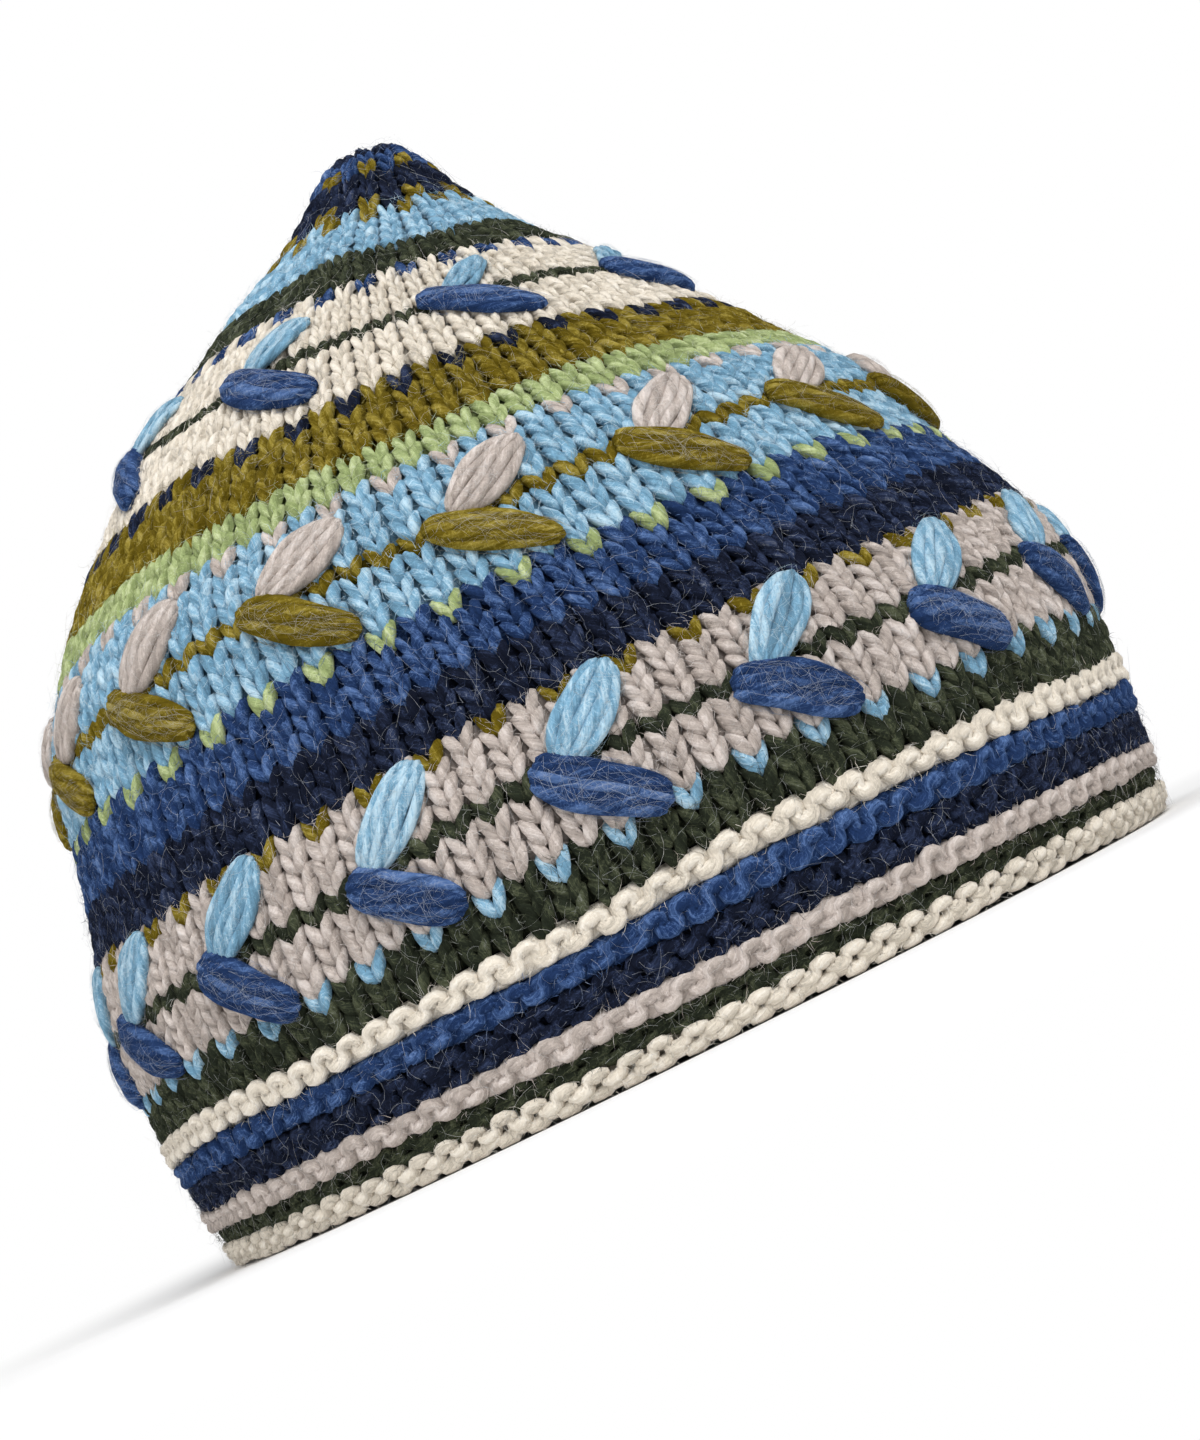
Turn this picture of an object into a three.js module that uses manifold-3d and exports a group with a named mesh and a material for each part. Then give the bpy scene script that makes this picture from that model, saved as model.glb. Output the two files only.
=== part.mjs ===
// A peaked hat of stranded alpaca knitting: a garter-ridged band at the rim, a stockinette crown with three
// rows of raised leaves in pairs, and a fleece lining. Millimetres, +Z up. It stands on its rim at z = 0,
// round the Z axis, and its tip leans a little to +X. The front, where the leaves are seen best, faces -Y.
import * as THREE from "three";
import Module from "manifold-3d";

// Driving sizes
const hatHeight = 182;
const greatestRadius = 100; // outside, about a quarter of the way up
const tipLean = 15; // how far the tip stands to the right of the widest round's middle
const tipTilt = THREE.MathUtils.degToRad(9); // how far the round at the tip slopes down to the right
const knitWall = 4.2; // two layers of yarn: the face and the floats behind it
const liningWall = 1.5;
const liningStart = 8; // the knitted rim that shows below the lining's hem
const clearance = 0.3; // between pieces that touch
const bandHeight = 28.2; // along the knitting
const bandRounding = 1.1; // how far the fullest garter ridge stands out of the band
const leafLength = 24; // the dark leaf of the lowest row
const leafWidth = 8.5;
const leafRise = 3.2;
const segments = 48; // facets round the hat
const outsideSteps = 18; // rings of facets up the crown's outside
const insideSteps = 9; // and up its inside and the lining
const ridgeSteps = 3; // rings of facets to a garter ridge

// The hat's outside from the rim up. Heights are shares of hatHeight, radii of greatestRadius,
// the middles' shift to +X of tipLean, and the slope of the rounds of tipTilt.
const profile = [
  { height: 0.0, radius: 0.955, shift: -0.09, tilt: 0.0 },
  { height: 0.07, radius: 0.977, shift: -0.06, tilt: -0.04 },
  { height: 0.15, radius: 0.99, shift: -0.04, tilt: -0.11 },
  { height: 0.25, radius: 1.0, shift: 0.0, tilt: -0.17 },
  { height: 0.35, radius: 0.96, shift: -0.01, tilt: -0.08 },
  { height: 0.45, radius: 0.9, shift: -0.12, tilt: 0.05 },
  { height: 0.55, radius: 0.838, shift: -0.19, tilt: 0.17 },
  { height: 0.65, radius: 0.7, shift: -0.14, tilt: 0.33 },
  { height: 0.75, radius: 0.54, shift: 0.04, tilt: 0.5 },
  { height: 0.84, radius: 0.355, shift: 0.35, tilt: 0.65 },
  { height: 0.91, radius: 0.205, shift: 0.68, tilt: 0.78 },
  { height: 0.965, radius: 0.12, shift: 0.91, tilt: 0.9 },
  { height: 0.993, radius: 0.065, shift: 0.99, tilt: 0.97 },
  { height: 1.0, radius: 0.0, shift: 1.0, tilt: 1.0 },
];

// Garter ridges and grooves of the band from the rim up: their heights are shares of bandHeight, and
// fullness is how far each one swells, as a share of bandRounding.
const bandRidges = [
  { yarn: "cream", height: 0.163, fullness: 1.0 },
  { yarn: "dark_green", height: 0.117, fullness: 0.15 },
  { yarn: "beige", height: 0.167, fullness: 0.95 },
  { yarn: "navy", height: 0.195, fullness: 0.35 },
  { yarn: "blue", height: 0.174, fullness: 0.9 },
  { yarn: "cream", height: 0.184, fullness: 1.0 },
];

const colors = { cream: 0xe1d7c3, blue: 0x3a5892, olive: 0x826e1e, black: 0x12141b };

// Rows of leaves in pairs, from the lowest up. place is the dark leaf's middle as a share of the way from rim
// to tip along the knitting, and turn the first pair's place in degrees from the front. The dark leaf falls
// to the right by fall degrees, and the light one climbs by climb. dark and light are the leaves' lengths as
// shares of leafLength, and lightWidth is the light leaf's width as a share of leafWidth.
const leafRows = [
  { name: "lower", pairs: 18, place: 0.193, turn: 1, dark: 1, fall: 34, light: 0.93, climb: 42, lightWidth: 1.1 },
  { name: "middle", pairs: 16, place: 0.406, turn: 4, dark: 0.97, fall: 33, light: 0.93, climb: 31, lightWidth: 1.1 },
  { name: "top", pairs: 9, place: 0.648, turn: 20, dark: 1.03, fall: 32, light: 0.68, climb: 40, lightWidth: 0.8 },
];
const leafColors = { lower: colors.blue, middle: colors.olive, top: colors.blue };

// The light leaf is lower than the dark one, by this share, and its root lies under the dark leaf, at these
// shares of the dark leaf's length from its middle.
const lightLeaf = { rise: 0.85, rootRight: -0.2, rootUp: 0.2 };

const wasm = await Module();
wasm.setup();

// The outside's curve holds radius and height, and the spine's curve shift and tilt, at the same parameter.
const outline = new THREE.SplineCurve(
  profile.map((row) => new THREE.Vector2(row.radius * greatestRadius, row.height * hatHeight)),
);
const spine = new THREE.SplineCurve(
  profile.map((row) => new THREE.Vector2(row.shift * tipLean, row.tilt * tipTilt)),
);
const outlineLength = outline.getLength();

// One knitted round: its radius, height, shift and tilt, at a way up from the rim along the knitting,
// moved out of the surface by lift.
function round(wayUp, lift = 0) {
  const t = outline.getUtoTmapping(THREE.MathUtils.clamp(wayUp / outlineLength, 0, 1));
  const place = outline.getPoint(t);
  const along = outline.getTangent(t);
  const lean = spine.getPoint(t);
  const onAxis = place.x < 1e-6;
  return {
    radius: onAxis ? 0 : place.x + lift * along.y,
    height: onAxis ? place.y + lift : place.y - lift * along.x,
    shift: lean.x,
    tilt: lean.y,
  };
}

// A point of a round at an angle from +X.
function pointOf({ radius, height, shift, tilt }, angle) {
  const across = radius * Math.cos(angle);
  return [shift + across * Math.cos(tilt), radius * Math.sin(angle), height - across * Math.sin(tilt)];
}

// A closed body through rings of points, each a list as long as the others or a single point. The last ring
// meets the first if closed is set, and otherwise both ends are single points.
function loft(rings, closed) {
  const positions = rings.flat(2);
  const starts = [];
  rings.reduce((sum, ring) => (starts.push(sum), sum + ring.length), 0);
  const index = [];
  const count = closed ? rings.length : rings.length - 1;
  for (let i = 0; i < count; i++) {
    const next = (i + 1) % rings.length;
    const [low, high] = [rings[i].length, rings[next].length];
    const around = Math.max(low, high);
    for (let j = 0; j < around && low + high > 2; j++) {
      const k = (j + 1) % around;
      const [a, b] = [starts[i] + (j % low), starts[i] + (k % low)];
      const [c, d] = [starts[next] + (j % high), starts[next] + (k % high)];
      if (low > 1) index.push(a, b, d);
      if (high > 1) index.push(a, d, c);
    }
  }
  const geometry = new THREE.BufferGeometry();
  geometry.setAttribute("position", new THREE.Float32BufferAttribute(positions, 3));
  geometry.setIndex(index);
  return geometry;
}

// Rings of the hat through its rounds; a round on the axis is one point.
function hatRings(rounds) {
  return rounds.map((each) => {
    const count = each.radius === 0 ? 1 : segments;
    return Array.from({ length: count }, (_, j) => pointOf(each, (2 * Math.PI * j) / segments));
  });
}

// Rounds from one way up to another, both included, with a lift.
function roundsBetween(low, high, steps, lift) {
  return Array.from({ length: steps + 1 }, (_, i) => round(low + ((high - low) * i) / steps, lift));
}

// A named piece of wool or fleece, which is quite matt.
function meshOf(name, geometry, color) {
  geometry.computeVertexNormals();
  const material = new THREE.MeshStandardMaterial({ color, roughness: 1, metalness: 0 });
  const mesh = new THREE.Mesh(geometry, material);
  mesh.name = name;
  return mesh;
}

// The band: its outside swells at each garter ridge, and its foot is flat.
function makeBand() {
  const outside = [];
  let foot = 0;
  for (const ridge of bandRidges) {
    const ridgeHeight = ridge.height * bandHeight;
    for (let i = 0; i < ridgeSteps; i++) {
      const share = i / ridgeSteps;
      const swell = bandRounding * (ridge.fullness * Math.sin(Math.PI * share) - 0.5);
      outside.push(round(foot + ridgeHeight * share, foot + i > 0 ? swell : 0));
    }
    foot += ridgeHeight;
  }
  outside.push(round(bandHeight, -bandRounding / 2));
  const inside = roundsBetween(0, bandHeight, ridgeSteps, -knitWall);
  const innerCorner = { ...round(0), radius: round(0).radius - knitWall };
  const rounds = [...outside, ...inside.slice(1).reverse(), innerCorner];
  return meshOf("band", loft(hatRings(rounds), true), colors.cream);
}

// The crown: a hollow knitted shell from the band to the tip.
function makeCrown() {
  const foot = bandHeight + clearance;
  const outside = roundsBetween(foot, outlineLength, outsideSteps, 0);
  const inside = roundsBetween(foot, outlineLength, insideSteps, -knitWall);
  return meshOf("crown", loft(hatRings([...outside, ...inside.reverse()]), true), colors.blue);
}

// The fleece lining: a thin cap inside the band and the crown.
function makeLining() {
  const faceOut = -knitWall - clearance;
  const foot = bandHeight + clearance;
  const stations = (lift) => [
    ...roundsBetween(liningStart, bandHeight, 1, lift),
    ...roundsBetween(foot, outlineLength, insideSteps, lift).slice(1),
  ];
  const inside = stations(faceOut - liningWall).reverse();
  return meshOf("lining", loft(hatRings([...stations(faceOut), ...inside]), true), colors.black);
}

// One leaf on the hat's surface. Its middle lies right and up of the pair's own place, it points slope
// radians above the level to the right, and bluntness rounds its ends.
function makeLeaf(place, { length, width, rise, right, up, slope, bluntness, stations }) {
  const crossSection = [
    { across: -1, above: 0 },
    { across: 1, above: 0 },
    { across: 0.75, above: 0.75 },
    { across: 0, above: 1 },
    { across: -0.75, above: 0.75 },
  ];
  const onHat = (along, across, above) => {
    const wayRight = right + along * Math.cos(slope) - across * Math.sin(slope);
    const wayUp = place.wayUp + up + along * Math.sin(slope) + across * Math.cos(slope);
    const ownRound = round(wayUp, clearance + above);
    return pointOf(ownRound, place.angle + wayRight / round(wayUp).radius);
  };
  const rings = [[onHat(-length / 2, 0, 0)]];
  for (let i = 1; i <= stations; i++) {
    const share = (1 - Math.cos((Math.PI * i) / (stations + 1))) / 2;
    const fullness = Math.sin(Math.PI * share) ** bluntness;
    rings.push(
      crossSection.map(({ across, above }) =>
        onHat((share - 0.5) * length, (across * fullness * width) / 2, above * fullness * rise),
      ),
    );
  }
  rings.push([onHat(length / 2, 0, 0)]);
  return loft(rings, false);
}

function solidOf(geometry) {
  const vertProperties = geometry.getAttribute("position").array;
  const triVerts = new Uint32Array(geometry.index.array);
  return new wasm.Manifold(new wasm.Mesh({ numProp: 3, vertProperties, triVerts }));
}

function geometryOf(solid) {
  const { vertProperties, triVerts } = solid.getMesh();
  const geometry = new THREE.BufferGeometry();
  geometry.setAttribute("position", new THREE.Float32BufferAttribute(vertProperties, 3));
  geometry.setIndex(Array.from(triVerts));
  return geometry;
}

// A pair: the dark leaf falls to the right, and the light leaf rises from under it.
function makePair(row, number) {
  const turn = THREE.MathUtils.degToRad(row.turn + (360 * number) / row.pairs);
  const place = { wayUp: row.place * outlineLength, angle: turn - Math.PI / 2 };
  const [darkLength, lightLength] = [leafLength * row.dark, leafLength * row.light];
  const rise = THREE.MathUtils.degToRad(row.climb);
  const dark = {
    length: darkLength,
    width: leafWidth,
    rise: leafRise,
    right: 0,
    up: 0,
    slope: -THREE.MathUtils.degToRad(row.fall),
    bluntness: 0.45,
    stations: 5,
  };
  const light = {
    length: lightLength,
    width: leafWidth * row.lightWidth,
    rise: leafRise * lightLeaf.rise,
    right: darkLength * lightLeaf.rootRight + (lightLength / 2) * Math.cos(rise),
    up: darkLength * lightLeaf.rootUp + (lightLength / 2) * Math.sin(rise),
    slope: rise,
    bluntness: 0.5,
    stations: 4,
  };
  const joined = solidOf(makeLeaf(place, dark)).add(solidOf(makeLeaf(place, light)));
  return meshOf("leaves_" + row.name + "_" + (number + 1), geometryOf(joined), leafColors[row.name]);
}

const hat = new THREE.Group();
hat.add(makeBand(), makeCrown(), makeLining());
for (const row of leafRows) {
  for (let number = 0; number < row.pairs; number++) hat.add(makePair(row, number));
}

export default hat;
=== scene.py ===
"""The alpaca hat, knitted stitch by stitch, standing on its rim.

All knitting lies on the hat's outside, a surface of two parameters: the way up from the rim along the
knitting, and the angle round the hat. A point that is lifted off it by lift is
    (shift + r cos(angle) cos(tilt), r sin(angle), h - r cos(angle) sin(tilt)),
    r = radius + lift dh/dway,  h = height - lift dr/dway,
where radius, height, shift and tilt run on one Catmull-Rom curve through the rows of PROFILE. From the
middle of the band up, way and lift first get a small slow wave, as no round is knitted quite evenly.
Yarn is a tube round a path of (right, up, lift), in millimetres on that surface.
"""
import math

import bpy
import numpy as np
from mathutils import Matrix, Vector


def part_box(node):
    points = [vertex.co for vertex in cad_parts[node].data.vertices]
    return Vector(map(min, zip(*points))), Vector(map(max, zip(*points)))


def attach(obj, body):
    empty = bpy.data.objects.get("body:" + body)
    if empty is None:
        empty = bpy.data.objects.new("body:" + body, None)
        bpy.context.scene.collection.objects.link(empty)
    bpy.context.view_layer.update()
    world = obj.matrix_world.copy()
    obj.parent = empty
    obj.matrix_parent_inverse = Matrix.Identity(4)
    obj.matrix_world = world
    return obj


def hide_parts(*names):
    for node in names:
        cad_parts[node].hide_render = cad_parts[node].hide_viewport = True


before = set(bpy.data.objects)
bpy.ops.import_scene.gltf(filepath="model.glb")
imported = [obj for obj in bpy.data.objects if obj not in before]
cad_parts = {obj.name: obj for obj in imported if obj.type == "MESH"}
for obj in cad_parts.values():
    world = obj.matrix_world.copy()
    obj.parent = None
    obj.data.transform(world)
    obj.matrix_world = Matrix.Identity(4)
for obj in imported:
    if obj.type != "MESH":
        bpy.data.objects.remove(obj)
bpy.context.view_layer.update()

MM = 0.001

# The camera
# The photo looks up at the hat from a little below, turned so that the hat leans to the left. The hat stands
# on the floor here, so the camera stays just above the floor, near the hat, and looks up past its middle.
CAMERA_DISTANCE = 0.50
CAMERA_HEIGHT = 0.012
CAMERA_TURN = math.radians(26.2)
CAMERA_AIM = Vector((0.0074, 0.0, 0.0622))
CAMERA_LENS = 66.0  # on the 36 mm long side of the picture

camera_place = Vector((0.0, -CAMERA_DISTANCE, CAMERA_HEIGHT))
view = (CAMERA_AIM - camera_place).normalized()
level = view.cross(Vector((0, 0, 1))).normalized()
upright = level.cross(view)
camera_right = level * math.cos(CAMERA_TURN) - upright * math.sin(CAMERA_TURN)
camera_up = level * math.sin(CAMERA_TURN) + upright * math.cos(CAMERA_TURN)
camera_data = bpy.data.cameras.new("camera")
camera_data.lens = CAMERA_LENS
camera = bpy.data.objects.new("camera", camera_data)
turned = Matrix((camera_right, camera_up, -view)).transposed().to_4x4()
camera.matrix_world = Matrix.Translation(camera_place) @ turned
bpy.context.scene.collection.objects.link(camera)
bpy.context.scene.camera = camera

# The studio
# A plain white floor and a white surround, lit by one large soft lamp on each side and one above. Away from
# the hat the floor turns into the white of the surround.
FLOOR_RADIUS = 3.0
FLOOR_SIDES = 96
FLOOR_WHITE = 0.9
FLOOR_FADE = (0.08, 0.32)  # metres from the middle, where the lit floor begins to fade and where it ends
LAMP_AIM = Vector((0.0, 0.0, 0.08))
LAMPS = (
    # name, place, size, watts
    ("key_lamp", (0.28, -0.78, 0.88), 0.70, 11.5),
    ("fill_lamp", (-0.90, -0.60, 0.35), 0.80, 3.5),
    ("top_lamp", (-0.10, 0.20, 1.10), 0.70, 2.0),
)
SURROUND_LIGHT = 0.43  # what the surround gives to the hat; the camera itself sees it white

bpy.context.scene.view_settings.view_transform = "Standard"
world = bpy.data.worlds.new("white_surround")
world.use_nodes = True
world_nodes, world_links = world.node_tree.nodes, world.node_tree.links
seen_ray = world_nodes.new("ShaderNodeLightPath")
brightness_of_surround = world_nodes.new("ShaderNodeMapRange")
brightness_of_surround.inputs["To Min"].default_value = SURROUND_LIGHT
brightness_of_surround.inputs["To Max"].default_value = 1.0
world_links.new(seen_ray.outputs["Is Camera Ray"], brightness_of_surround.inputs["Value"])
world_nodes["Background"].inputs["Color"].default_value = (1.0, 1.0, 1.0, 1.0)
world_links.new(brightness_of_surround.outputs["Result"], world_nodes["Background"].inputs["Strength"])
bpy.context.scene.world = world

for name, place, size, watts in LAMPS:
    lamp = bpy.data.lights.new(name, "AREA")
    lamp.energy = watts
    lamp.size = size
    lamp_object = bpy.data.objects.new(name, lamp)
    lamp_object.location = place
    lamp_object.rotation_euler = (LAMP_AIM - Vector(place)).to_track_quat("-Z", "Y").to_euler()
    bpy.context.scene.collection.objects.link(lamp_object)

floor_turns = np.linspace(0.0, 2.0 * math.pi, FLOOR_SIDES, endpoint=False)
floor_points = [(FLOOR_RADIUS * math.cos(a), FLOOR_RADIUS * math.sin(a), 0.0) for a in floor_turns]
floor_mesh = bpy.data.meshes.new("floor")
floor_mesh.from_pydata(floor_points, [], [tuple(range(FLOOR_SIDES))])
floor = bpy.data.objects.new("floor", floor_mesh)
bpy.context.scene.collection.objects.link(floor)
floor_material = bpy.data.materials.new("white_floor")
floor_material.use_nodes = True
floor_nodes, floor_links = floor_material.node_tree.nodes, floor_material.node_tree.links
floor_shader = floor_nodes["Principled BSDF"]
floor_shader.inputs["Base Color"].default_value = (FLOOR_WHITE, FLOOR_WHITE, FLOOR_WHITE, 1.0)
floor_shader.inputs["Roughness"].default_value = 0.9
floor_shader.inputs["Specular IOR Level"].default_value = 0.1
floor_place = floor_nodes.new("ShaderNodeTexCoord")
floor_reach = floor_nodes.new("ShaderNodeVectorMath")
floor_reach.operation = "LENGTH"
floor_links.new(floor_place.outputs["Object"], floor_reach.inputs[0])
floor_fade = floor_nodes.new("ShaderNodeMapRange")
floor_fade.interpolation_type = "SMOOTHSTEP"
floor_fade.inputs["From Min"].default_value, floor_fade.inputs["From Max"].default_value = FLOOR_FADE
floor_links.new(floor_reach.outputs["Value"], floor_fade.inputs["Value"])
floor_white = floor_nodes.new("ShaderNodeEmission")
floor_white.inputs["Color"].default_value = (1.0, 1.0, 1.0, 1.0)
floor_mix = floor_nodes.new("ShaderNodeMixShader")
floor_links.new(floor_fade.outputs["Result"], floor_mix.inputs["Fac"])
floor_links.new(floor_shader.outputs["BSDF"], floor_mix.inputs[1])
floor_links.new(floor_white.outputs["Emission"], floor_mix.inputs[2])
floor_links.new(floor_mix.outputs["Shader"], floor_nodes["Material Output"].inputs["Surface"])
floor_mesh.materials.append(floor_material)

# The hat's outside
# The knitted surface that every stitch lies on. Its sizes come from the crown's box, and the rows of PROFILE
# are the shares of them that the solid model has.
crown_low, crown_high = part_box("crown")
HAT_HEIGHT = crown_high[2] / MM
GREATEST_RADIUS = crown_high[1] / MM
TIP_LEAN = 15.0
TIP_TILT = math.radians(9.0)
KNIT_WALL = 4.2
PROFILE = np.array(
    # height and radius, shift to +X, slope of the rounds
    [
        (0.0, 0.955, -0.09, 0.0),
        (0.07, 0.977, -0.06, -0.04),
        (0.15, 0.99, -0.04, -0.11),
        (0.25, 1.0, 0.0, -0.17),
        (0.35, 0.96, -0.01, -0.08),
        (0.45, 0.9, -0.12, 0.05),
        (0.55, 0.838, -0.19, 0.17),
        (0.65, 0.7, -0.14, 0.33),
        (0.75, 0.54, 0.04, 0.5),
        (0.84, 0.355, 0.35, 0.65),
        (0.91, 0.205, 0.68, 0.78),
        (0.965, 0.12, 0.91, 0.9),
        (0.993, 0.065, 0.99, 0.97),
        (1.0, 0.0, 1.0, 1.0),
    ]
)


def catmull_rom(rows, count):
    """Samples of a uniform Catmull-Rom curve. A span is the cubic between two rows that slopes at each row by
    half the difference of its neighbours."""
    places = np.linspace(0.0, len(rows) - 1.0, count)
    span = np.minimum(places.astype(int), len(rows) - 2)
    w = (places - span)[:, None]
    padded = np.vstack([rows[:1], rows, rows[-1:]])
    p0, p1, p2, p3 = (padded[span + k] for k in range(4))
    v0, v1 = (p2 - p0) / 2.0, (p3 - p1) / 2.0
    return (2 * p1 - 2 * p2 + v0 + v1) * w**3 + (3 * p2 - 3 * p1 - 2 * v0 - v1) * w**2 + v0 * w + p1


CURVE_SAMPLES = 4000
CURVE = catmull_rom(PROFILE * (HAT_HEIGHT, GREATEST_RADIUS, TIP_LEAN, TIP_TILT), CURVE_SAMPLES)
STEPS = np.diff(CURVE[:, :2], axis=0)
WAYS = np.concatenate([[0.0], np.cumsum(np.hypot(STEPS[:, 0], STEPS[:, 1]))])
SLOPES = np.gradient(CURVE[:, :2], WAYS, axis=0)
OUTLINE_LENGTH = WAYS[-1]
EVEN_RIM = 14.0  # millimetres up to where the rounds are quite even
ROUND_SWAY = 0.5  # millimetres that a round wanders up and down
ROUND_PUFF = 0.5  # millimetres that the knitting goes in and out


def radius_at(way):
    return np.interp(way, WAYS, CURVE[:, 1])


def on_hat(way, angle, lift):
    """Points in metres on the hat: the formula at the top of this file, for whole arrays in millimetres. The
    wave adds ROUND_SWAY (sin(5 angle + way/17) + 0.6 sin(11 angle - way/11)) to the way and
    ROUND_PUFF sin(7 angle + way/13) sin(way/9) to the lift, from none at EVEN_RIM to all at twice it."""
    share = np.clip((way - EVEN_RIM) / EVEN_RIM, 0.0, 1.0)
    sway = ROUND_SWAY * (np.sin(5.0 * angle + way / 17.0) + 0.6 * np.sin(11.0 * angle - way / 11.0))
    puff = ROUND_PUFF * np.sin(7.0 * angle + way / 13.0) * np.sin(way / 9.0)
    way, lift = np.clip(way + share * sway, 0.0, OUTLINE_LENGTH), lift + share * puff
    height, radius, shift, tilt = (np.interp(way, WAYS, CURVE[:, k]) for k in range(4))
    rise, spread = (np.interp(way, WAYS, SLOPES[:, k]) for k in range(2))
    across = (radius + lift * rise) * np.cos(angle)
    points = np.stack(
        [
            shift + across * np.cos(tilt),
            (radius + lift * rise) * np.sin(angle),
            height - lift * spread - across * np.sin(tilt),
        ],
        axis=-1,
    )
    points[..., 2] = np.maximum(points[..., 2], 0.0)  # the floor presses the rim flat
    return points * MM


# Yarn
# Thick two-ply alpaca, softly twisted and fuzzy. Each colour is one material: mottled dyed fibre with curls
# of pale hair, painted shade in the grooves between its plies and fibres, a painted highlight on stray
# fibres, the plies, fibres and nap in relief, and a soft sheen. A piece's tone shifts its brightness.
YARNS = {
    # colour seen in the photo, and that of its lighter flecks
    "cream": ((221, 211, 195), (240, 233, 221)),
    "beige": ((185, 173, 165), (215, 205, 199)),
    "blue": ((34, 55, 95), (84, 112, 160)),
    "navy": ((21, 26, 41), (50, 61, 89)),
    "light_blue": ((118, 163, 191), (184, 212, 227)),
    "olive": ((99, 84, 17), (153, 137, 60)),
    "light_green": ((150, 165, 110), (192, 203, 154)),
    "dark_green": ((40, 45, 35), (82, 87, 66)),
}
HAIR_HIGHLIGHT_COLOR = (205, 208, 210)  # painted highlight: stray fibres catch the light
HAIR_HIGHLIGHT_SHARE = 0.6  # of that painted highlight in a stray fibre
PLAIN_TONE = 0.05  # the tone of yarn that shows its own colour
GROOVE_PAINTED_SHADE = 0.68  # of that colour: painted shade, deep between the fibres and in the groove between the plies
BACKS_PAINTED_SHADE = 0.65  # of it, as painted shade on the backs of the knitting
FIBRE_TWIST = 0.6  # radians between the fibres and the yarn
FIBRE_STRETCH = (17.0, 1.9, 1.0)  # fibres round the yarn, and along one turn of it
PLY_GROOVE_SHADE_SHARE, FLECK_SHARE = 0.55, 0.45  # of the ply groove's painted shade and of the flecks in the mottling, next to 1 of the fibres
CURL_SPACING, CURL_WIDTH = 0.07, 0.011  # in the values of the noise that they follow
CURL_SHARE = 0.22  # in the mottling
MOTTLING = 0.5  # its share in the brightness, next to 1 of the tone; it holds the painted shade of the grooves
TEXTURE_STEP = 0.37  # of a turn along the yarn, from one piece to the next
FIBRE_STEP = 0.05  # of a turn along the yarn, from one point of a fibre to the next
FIBRE_TAPER = 0.5  # of its thickness, left near its point


def linear(srgb):
    """A colour of 0 to 255 as the eye sees it, in the linear values that shaders take."""
    shares = np.array(srgb) / 255.0
    return np.where(shares <= 0.04045, shares / 12.92, ((shares + 0.055) / 1.055) ** 2.4)


def noise(tree, vector, scale, detail, roughness=0.5, distortion=0.0):
    """A noise texture at the coordinates that a socket gives."""
    texture = tree.nodes.new("ShaderNodeTexNoise")
    texture.inputs["Scale"].default_value = scale
    texture.inputs["Detail"].default_value = detail
    texture.inputs["Roughness"].default_value = roughness
    texture.inputs["Distortion"].default_value = distortion
    tree.links.new(vector, texture.inputs["Vector"])
    return texture


def maths(tree, operation, *values):
    """The result of one operation on numbers and on what sockets give."""
    node = tree.nodes.new("ShaderNodeMath")
    node.operation = operation
    for value, socket in zip(values, node.inputs):
        if isinstance(value, float):
            socket.default_value = value
        else:
            tree.links.new(value, socket)
    return node.outputs["Value"]


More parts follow.
